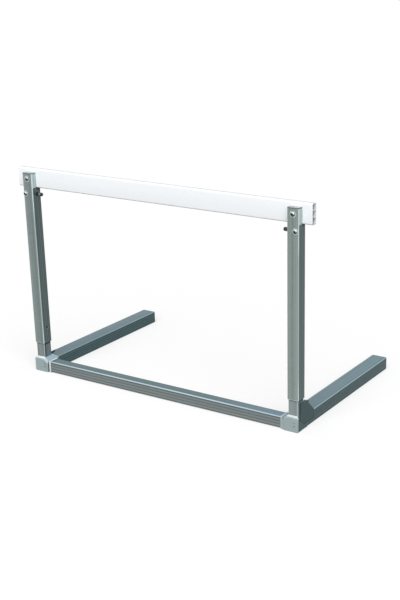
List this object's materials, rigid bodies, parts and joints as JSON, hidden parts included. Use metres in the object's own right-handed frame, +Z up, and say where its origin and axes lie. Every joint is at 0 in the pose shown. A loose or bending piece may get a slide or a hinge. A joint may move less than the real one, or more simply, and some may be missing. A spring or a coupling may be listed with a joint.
{
  "type": "track hurdle",
  "caption": "Height-adjustable athletics hurdle: white hollow crossbar on sliding aluminium uprights over an L-footed base with latches and sliding weights.",
  "frame": {"origin": "on the floor, below the middle of the overall outline, gate in its lowest setting", "axes": "+X along the crossbar to the right seen from the front, -Y the front, +Y along the floor legs to the rear, +Z up"},
  "size_m": [1.2, 0.669, 0.762],
  "materials": {
    "casting": "cast, matte",
    "cover": "cast, matte",
    "post": "drawn, satin",
    "leg": "ribbed extrusion, satin",
    "beam": "ribbed extrusion, satin",
    "upright": "grooved extrusion, satin",
    "leg_cap": "moulded black",
    "weight": "plain bar stock",
    "tongue_cap": "moulded light grey",
    "pad": "moulded black",
    "button_screw": "bright zinc",
    "nut": "bright zinc",
    "washer": "bright zinc",
    "cover_screw": "dull zinc",
    "guide": "moulded black",
    "hanger": "moulded black",
    "rod": "plain flat steel",
    "bolt": "bright steel",
    "stem": "bright steel",
    "bush": "turned, bright",
    "knob": "grey-green, satin",
    "knob_cap": "moulded black",
    "bar": "white extrusion, smooth"
  },
  "bodies": {
    "base": {"left_corner_casting": "casting", "left_corner_front_cover": "cover", "left_inner_post": "post", "left_floor_leg": "leg", "left_leg_end_cap": "leg_cap", "left_cover_screw_1": "cover_screw", "left_cover_screw_2": "cover_screw", "right_corner_casting": "casting", "right_corner_front_cover": "cover", "right_inner_post": "post", "right_floor_leg": "leg", "right_leg_end_cap": "leg_cap", "right_cover_screw_1": "cover_screw", "right_cover_screw_2": "cover_screw", "front_floor_beam": "beam"},
    "gate": {"left_upright_tube": "upright", "left_tongue_cap": "tongue_cap", "left_ledge_pad": "pad", "left_bar_screw": "button_screw", "left_bar_screw_nut": "nut", "left_guide_screw": "button_screw", "left_guide_washer": "washer", "left_latch_guide_block": "guide", "left_latch_hanger": "hanger", "left_knob_bush": "bush", "right_upright_tube": "upright", "right_tongue_cap": "tongue_cap", "right_ledge_pad": "pad", "right_bar_screw": "button_screw", "right_bar_screw_nut": "nut", "right_guide_screw": "button_screw", "right_guide_washer": "washer", "right_latch_guide_block": "guide", "right_latch_hanger": "hanger", "right_knob_bush": "bush", "crossbar": "bar"},
    "left_knob": {"left_knob_stem": "stem", "left_knob_grip": "knob", "left_knob_end_cap": "knob_cap"},
    "left_rod": {"left_latch_rod": "rod"},
    "left_bolt": {"left_latch_bolt": "bolt"},
    "left_weight": {"left_counterweight": "weight"},
    "right_knob": {"right_knob_stem": "stem", "right_knob_grip": "knob", "right_knob_end_cap": "knob_cap"},
    "right_rod": {"right_latch_rod": "rod"},
    "right_bolt": {"right_latch_bolt": "bolt"},
    "right_weight": {"right_counterweight": "weight"}
  },
  "joints": [
    {"name": "gate_height", "type": "slide", "parent": "base", "child": "gate", "axis": [0, 0, 1], "range_m": [0, 0.305]},
    {"name": "left_knob_pull", "type": "slide", "parent": "gate", "child": "left_knob", "axis": [1, 0, 0], "range_m": [-0.008, 0]},
    {"name": "left_rod_lift", "type": "slide", "parent": "gate", "child": "left_rod", "axis": [0, 0, 1], "range_m": [-0.008, 0]},
    {"name": "left_bolt_draw", "type": "slide", "parent": "gate", "child": "left_bolt", "axis": [-1, 0, 0], "range_m": [-0.008, 0]},
    {"name": "left_weight_slide", "type": "slide", "parent": "base", "child": "left_weight", "axis": [0, 1, 0], "range_m": [0, 0.305]},
    {"name": "right_knob_pull", "type": "slide", "parent": "gate", "child": "right_knob", "axis": [-1, 0, 0], "range_m": [-0.008, 0]},
    {"name": "right_rod_lift", "type": "slide", "parent": "gate", "child": "right_rod", "axis": [0, 0, 1], "range_m": [-0.008, 0]},
    {"name": "right_bolt_draw", "type": "slide", "parent": "gate", "child": "right_bolt", "axis": [1, 0, 0], "range_m": [-0.008, 0]},
    {"name": "right_weight_slide", "type": "slide", "parent": "base", "child": "right_weight", "axis": [0, 1, 0], "range_m": [0, 0.305]}
  ],
  "couplings": [
    {"joint": "left_rod_lift", "follows": "left_knob_pull", "ratio": 1},
    {"joint": "left_bolt_draw", "follows": "left_knob_pull", "ratio": 1},
    {"joint": "left_weight_slide", "follows": "gate_height", "ratio": 1},
    {"joint": "right_rod_lift", "follows": "right_knob_pull", "ratio": 1},
    {"joint": "right_bolt_draw", "follows": "right_knob_pull", "ratio": 1},
    {"joint": "right_weight_slide", "follows": "gate_height", "ratio": 1}
  ]
}
